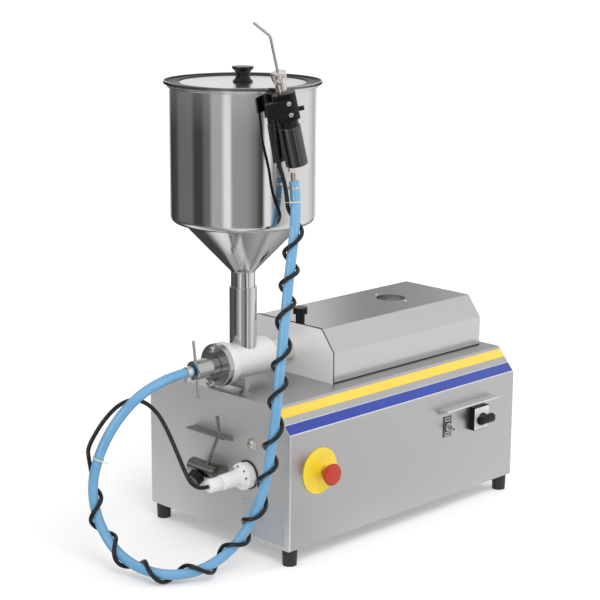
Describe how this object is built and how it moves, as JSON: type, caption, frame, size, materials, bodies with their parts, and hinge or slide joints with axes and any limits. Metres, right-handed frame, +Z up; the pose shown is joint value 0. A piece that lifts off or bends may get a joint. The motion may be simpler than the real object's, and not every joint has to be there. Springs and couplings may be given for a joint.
{
  "type": "cream filling machine",
  "caption": "Bench-top cream filling machine: steel cabinet with a coaxial screw pump, round hopper with lid, and a hose-fed filling gun with bent nozzle.",
  "frame": {"origin": "on the floor under the middle of the machine without its hose and cable", "axes": "+X along the cabinet away from the pump's outlet, +Y to the rear, +Z up"},
  "size_m": [0.9421, 0.457, 1.0207],
  "materials": {
    "satin_steel": "fine brushed satin",
    "cover_steel": "fine brushed satin, lighter",
    "polished_steel": "mirror polished",
    "nickel": "nickel plated",
    "black_rubber": "matt",
    "black_plastic": "satin",
    "red_plastic": "gloss",
    "yellow_plastic": "gloss",
    "white_plastic": "gloss",
    "grey_plastic": "satin",
    "blue_hose": "gloss",
    "cable_black": "satin",
    "motor_paint": "satin"
  },
  "bodies": {
    "machine": {"base_housing": "satin_steel", "end_panel_left": "satin_steel", "end_panel_right": "satin_steel", "base_plate": "satin_steel", "rubber_feet": "black_rubber", "control_hood": "satin_steel", "end_hood": "satin_steel", "mains_gland": "grey_plastic", "motor_drive": "grey_plastic", "estop_disc": "yellow_plastic", "estop_collar": "yellow_plastic", "toggle_switch": "nickel", "main_switch_base": "black_plastic", "cover_bulkhead": "satin_steel", "cover_gasket": "black_rubber", "pump_body": "satin_steel", "pump_flange": "polished_steel", "flange_nuts": "polished_steel", "hose_barb": "satin_steel", "inlet_sleeve": "satin_steel", "pump_yoke": "satin_steel", "pump_neck": "satin_steel", "shaft_seal": "black_rubber", "shaft_bearings": "satin_steel", "gearbox": "motor_paint", "motor": "motor_paint", "hopper_shell": "polished_steel", "hopper_cone": "polished_steel", "hopper_neck": "polished_steel", "gun_grip": "black_plastic", "gun_head": "black_plastic", "switch_block": "black_plastic", "gun_neck": "nickel", "nozzle_nut": "nickel", "nozzle_tube": "satin_steel", "gun_fitting": "nickel", "gun_hanger": "satin_steel", "panel_socket": "white_plastic", "plug_body": "white_plastic", "plug_gland_nut": "white_plastic", "lever_bracket": "polished_steel", "hose": "blue_hose", "hose_clamps": "satin_steel", "cable_winding": "cable_black", "cable_ends": "cable_black"},
    "lid": {"hopper_lid": "polished_steel", "lid_knob": "black_plastic"},
    "cover": {"gable_cover": "cover_steel", "cover_grip_cup": "satin_steel"},
    "cover_screw": {"cover_knob": "black_plastic"},
    "estop": {"estop_button": "red_plastic"},
    "toggle": {"toggle_lever": "nickel"},
    "main_switch": {"main_switch_knob": "black_plastic"},
    "union": {"union_nut": "polished_steel", "tommy_bars": "polished_steel"},
    "drive": {"pump_shaft": "satin_steel", "feed_screw": "satin_steel"},
    "trigger": {"gun_trigger": "black_plastic"},
    "lever": {"dosing_lever": "polished_steel"},
    "clamp": {"clamp_knob": "black_plastic"}
  },
  "joints": [
    {"name": "lid_lift", "type": "slide", "parent": "machine", "child": "lid", "axis": [0, 0, 1], "range_m": [0, 0.12]},
    {"name": "cover_lift", "type": "slide", "parent": "machine", "child": "cover", "axis": [0, 0, 1], "range_m": [0, 0.12]},
    {"name": "cover_knob_turn", "type": "hinge", "parent": "cover", "child": "cover_screw", "pos_m": [-0.088, -0.014, 0.4125], "axis": [0, 0, 1], "continuous": true},
    {"name": "estop_press", "type": "slide", "parent": "machine", "child": "estop", "axis": [0, 1, 0], "range_m": [0, 0.004]},
    {"name": "toggle_flip", "type": "hinge", "parent": "machine", "child": "toggle", "pos_m": [0.16, -0.1988, 0.184], "axis": [-1, 0, 0], "range_deg": [0, 24]},
    {"name": "main_switch_turn", "type": "hinge", "parent": "machine", "child": "main_switch", "pos_m": [0.2555, -0.192, 0.1855], "axis": [0, -1, 0], "range_deg": [0, 90]},
    {"name": "union_turn", "type": "hinge", "parent": "machine", "child": "union", "pos_m": [-0.344, 0.008, 0.359], "axis": [1, 0, 0], "continuous": true},
    {"name": "pump_drive", "type": "hinge", "parent": "machine", "child": "drive", "pos_m": [-0.29, 0.008, 0.359], "axis": [1, 0, 0], "continuous": true},
    {"name": "trigger_press", "type": "slide", "parent": "machine", "child": "trigger", "axis": [-0.7265, 0.6542, -0.2104], "range_m": [0, 0.004], "stiffness_N_per_m": 400, "springref_m": -0.001},
    {"name": "lever_swing", "type": "hinge", "parent": "machine", "child": "lever", "pos_m": [-0.315, -0.002, 0.153], "axis": [0, -1, 0], "range_deg": [0, 35], "stiffness_Nm_per_rad": 0.6, "springref_deg": -14.32},
    {"name": "clamp_knob_turn", "type": "hinge", "parent": "lever", "child": "clamp", "pos_m": [-0.315, 0.02, 0.153], "axis": [-0.866, 0, -0.5], "continuous": true}
  ]
}
